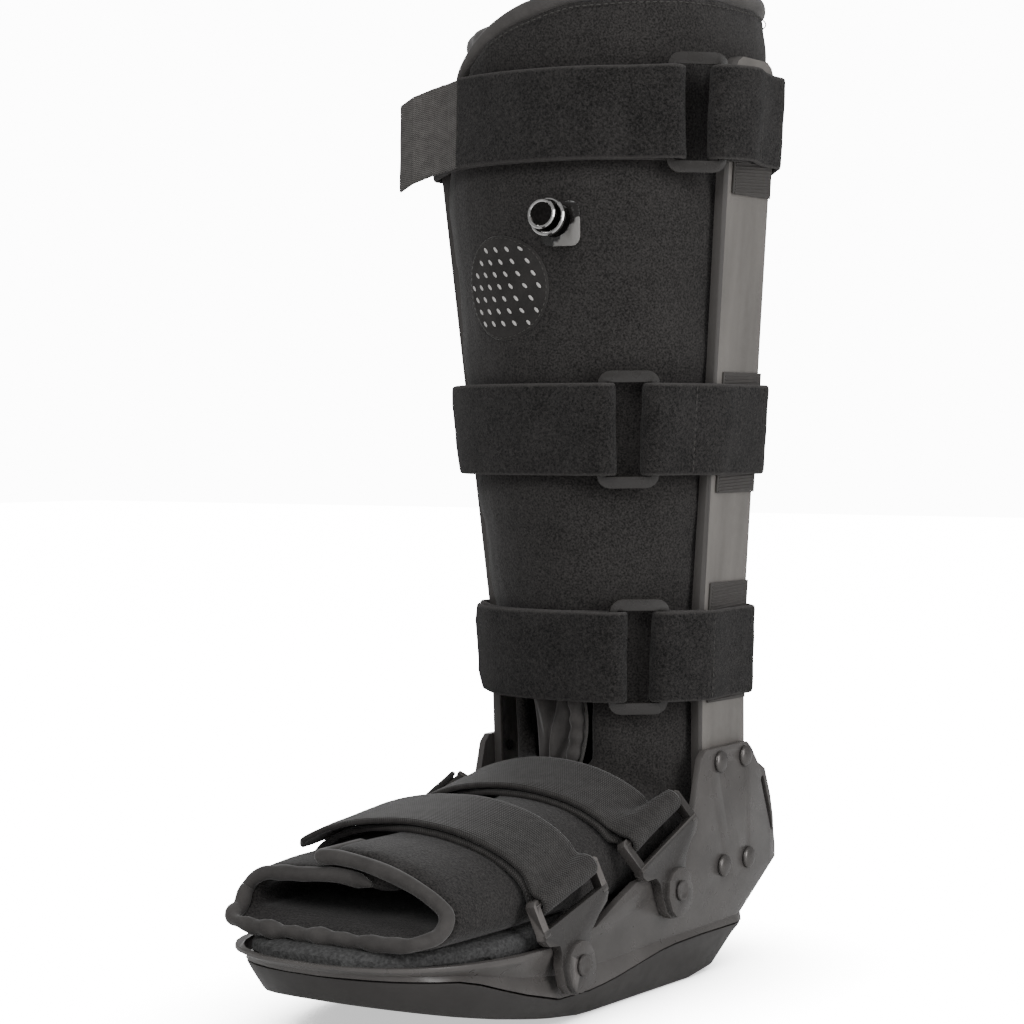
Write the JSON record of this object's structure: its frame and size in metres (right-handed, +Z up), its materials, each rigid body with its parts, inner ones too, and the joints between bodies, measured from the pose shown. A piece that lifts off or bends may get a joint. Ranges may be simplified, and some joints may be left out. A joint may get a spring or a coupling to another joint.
{
  "type": "medical walking boot",
  "caption": "Tall walking boot for the lower leg: padded wrap liner in a moulded tray with a rocker sole, side uprights, ring straps round the leg and webbing straps over the foot.",
  "frame": {"origin": "middle of the whole boot's footprint, on the ground", "axes": "+Z up the leg, -Y towards the toes, +X towards the side plate seen in full"},
  "size_m": [0.1686, 0.285, 0.418],
  "materials": {
    "sole": "satin",
    "shell": "satin",
    "foam": "rough foam",
    "liner": "short pile",
    "trim": "smooth knit",
    "upright": "matte",
    "grip": "fine ribs",
    "rivet": "satin",
    "strap": "brushed loops",
    "ring": "satin",
    "webbing": "woven ribs",
    "mesh": "open weave",
    "clear": "clear",
    "metal": "polished"
  },
  "bodies": {
    "root": {"outsole": "sole", "tray": "shell", "foam_pad": "foam", "liner": "liner", "liner_collar": "trim", "toe_binding": "trim", "ankle_gusset": "trim", "upright_left": "upright", "upright_right": "upright", "grip_patch_top_left": "grip", "grip_patch_top_right": "grip", "grip_patch_middle_left": "grip", "grip_patch_middle_right": "grip", "grip_patch_low_left": "grip", "grip_patch_low_right": "grip", "rivet_upper_front_left": "rivet", "rivet_upper_front_right": "rivet", "rivet_upper_rear_left": "rivet", "rivet_upper_rear_right": "rivet", "rivet_lower_front_left": "rivet", "rivet_lower_front_right": "rivet", "rivet_lower_rear_left": "rivet", "rivet_lower_rear_right": "rivet", "strap_bracket_front_left": "shell", "bracket_rivet_front_left": "rivet", "strap_bracket_front_right": "shell", "bracket_rivet_front_right": "rivet", "strap_bracket_rear_left": "shell", "bracket_rivet_rear_left": "rivet", "strap_bracket_rear_right": "shell", "bracket_rivet_rear_right": "rivet", "leg_strap_top": "strap", "strap_ring_top": "ring", "leg_strap_middle": "strap", "strap_ring_middle": "ring", "leg_strap_low": "strap", "strap_ring_low": "ring", "pull_tab": "webbing", "foot_strap_front": "webbing", "foot_strap_rear": "webbing", "vent_mesh": "mesh", "valve_seat": "clear", "valve_body": "metal", "valve_cap": "metal"}
  },
  "joints": []
}
